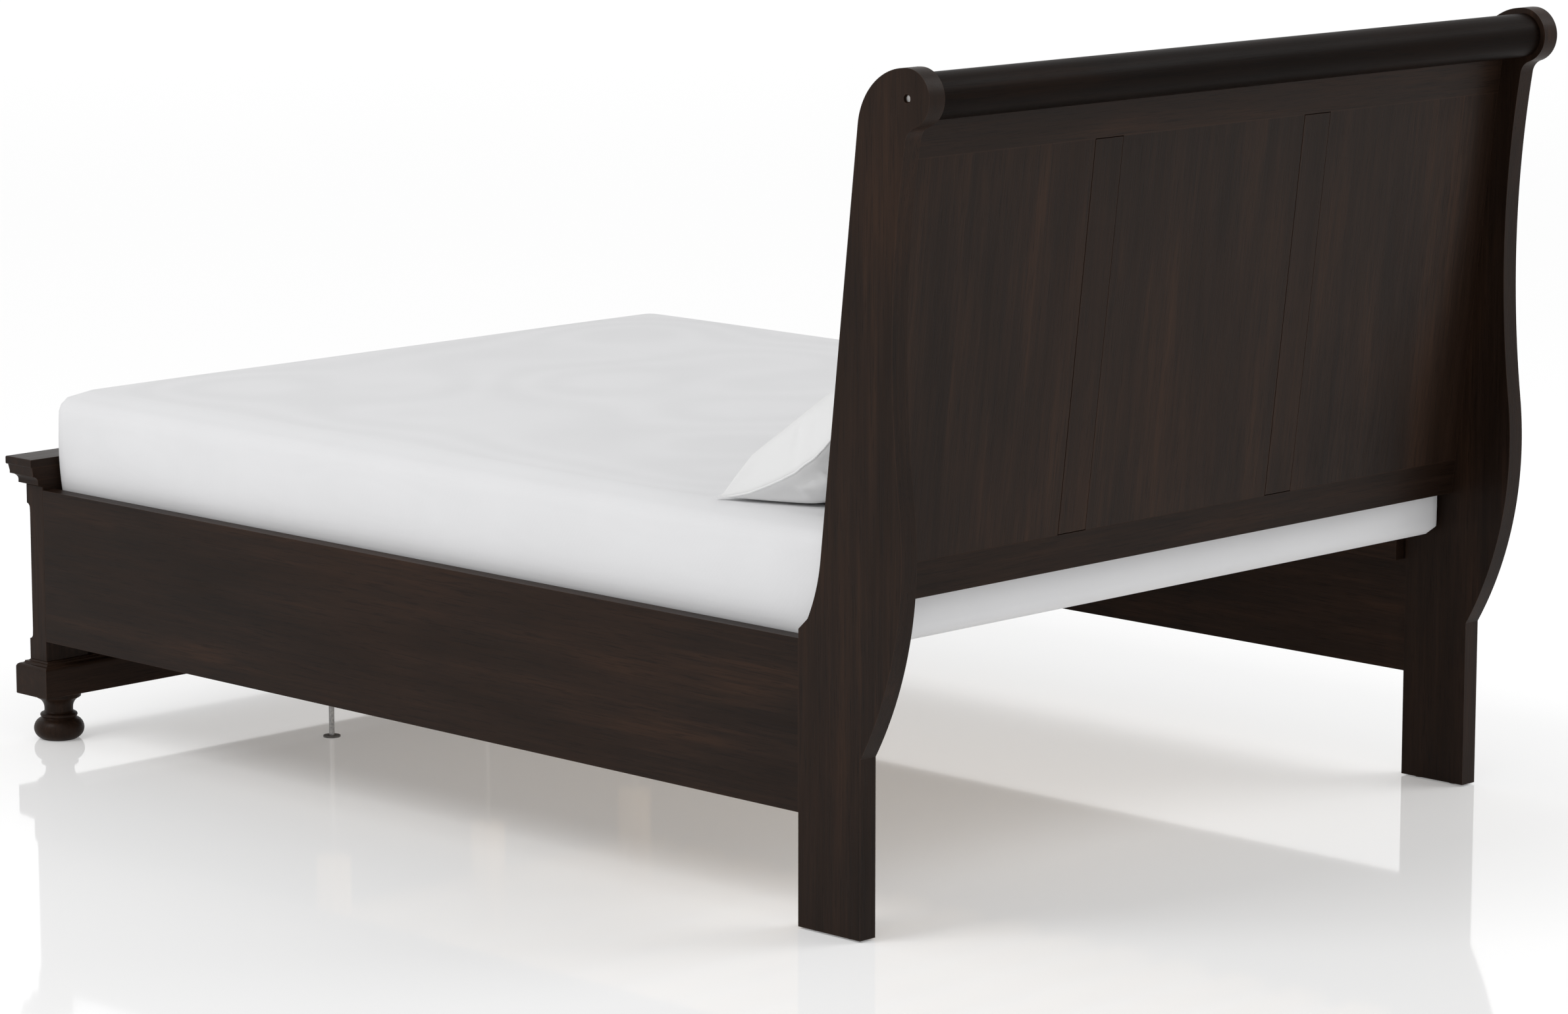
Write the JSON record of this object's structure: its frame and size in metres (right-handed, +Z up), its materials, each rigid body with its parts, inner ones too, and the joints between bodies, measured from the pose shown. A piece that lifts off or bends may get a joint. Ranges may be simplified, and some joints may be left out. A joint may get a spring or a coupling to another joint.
{
  "type": "sleigh bed",
  "caption": "Queen-size sleigh bed with a tall scroll-topped panelled headboard, low moulded footboard on bun feet, slatted base, mattress and leaning pillows.",
  "frame": {"origin": "on the floor under the middle of the whole bed", "axes": "X across the bed, +Y towards the headboard, +Z up"},
  "size_m": [1.634, 2.296, 1.392],
  "materials": {
    "dark_wood": "espresso stain, satin lacquer",
    "pale_wood": "planed pine, unfinished",
    "steel": "zinc plated",
    "glide": "moulded",
    "mattress_cover": "fine knitted cover",
    "pillow_cover": "plain woven cotton"
  },
  "bodies": {
    "frame": {"head_post_right": "dark_wood", "head_post_left": "dark_wood", "head_roll": "dark_wood", "head_top_rail": "dark_wood", "head_bottom_rail": "dark_wood", "head_muntin_right": "dark_wood", "head_muntin_left": "dark_wood", "head_panel_right": "dark_wood", "head_panel_centre": "dark_wood", "head_panel_left": "dark_wood", "side_rail_right": "dark_wood", "side_rail_left": "dark_wood", "foot_post_right": "dark_wood", "foot_post_left": "dark_wood", "foot_top_rail": "dark_wood", "foot_bottom_rail": "dark_wood", "foot_muntin_right": "dark_wood", "foot_muntin_left": "dark_wood", "foot_panel_right": "dark_wood", "foot_panel_centre": "dark_wood", "foot_panel_left": "dark_wood", "foot_crown": "dark_wood", "foot_cap": "dark_wood", "foot_plinth": "dark_wood", "bun_foot_right": "dark_wood", "bun_foot_left": "dark_wood", "ledger_right": "dark_wood", "ledger_left": "dark_wood", "slat_01": "pale_wood", "slat_02": "pale_wood", "slat_03": "pale_wood", "slat_04": "pale_wood", "slat_05": "pale_wood", "slat_06": "pale_wood", "slat_07": "pale_wood", "slat_08": "pale_wood", "slat_09": "pale_wood", "slat_10": "pale_wood", "slat_11": "pale_wood", "slat_12": "pale_wood", "slat_13": "pale_wood", "slat_14": "pale_wood", "support_leg_right": "pale_wood", "support_leg_centre": "pale_wood", "support_leg_left": "pale_wood", "roll_bolts": "steel", "ledger_screws": "steel", "rail_hooks": "steel", "post_hook_plates": "steel", "slat_screws": "steel", "support_leg_bolts": "steel", "support_leg_rods": "steel", "bun_studs": "steel", "head_glides": "glide", "support_leg_glides": "glide"},
    "mattress": {"mattress": "mattress_cover"},
    "pillow_right": {"pillow_right": "pillow_cover"},
    "pillow_left": {"pillow_left": "pillow_cover"}
  },
  "joints": [
    {"name": "mattress_lift", "type": "slide", "parent": "frame", "child": "mattress", "axis": [0, 0, 1], "range_m": [0, 0.3]},
    {"name": "pillow_right_lift", "type": "slide", "parent": "mattress", "child": "pillow_right", "axis": [0, 0, 1], "range_m": [0, 0.3]},
    {"name": "pillow_left_lift", "type": "slide", "parent": "mattress", "child": "pillow_left", "axis": [0, 0, 1], "range_m": [0, 0.3]}
  ]
}
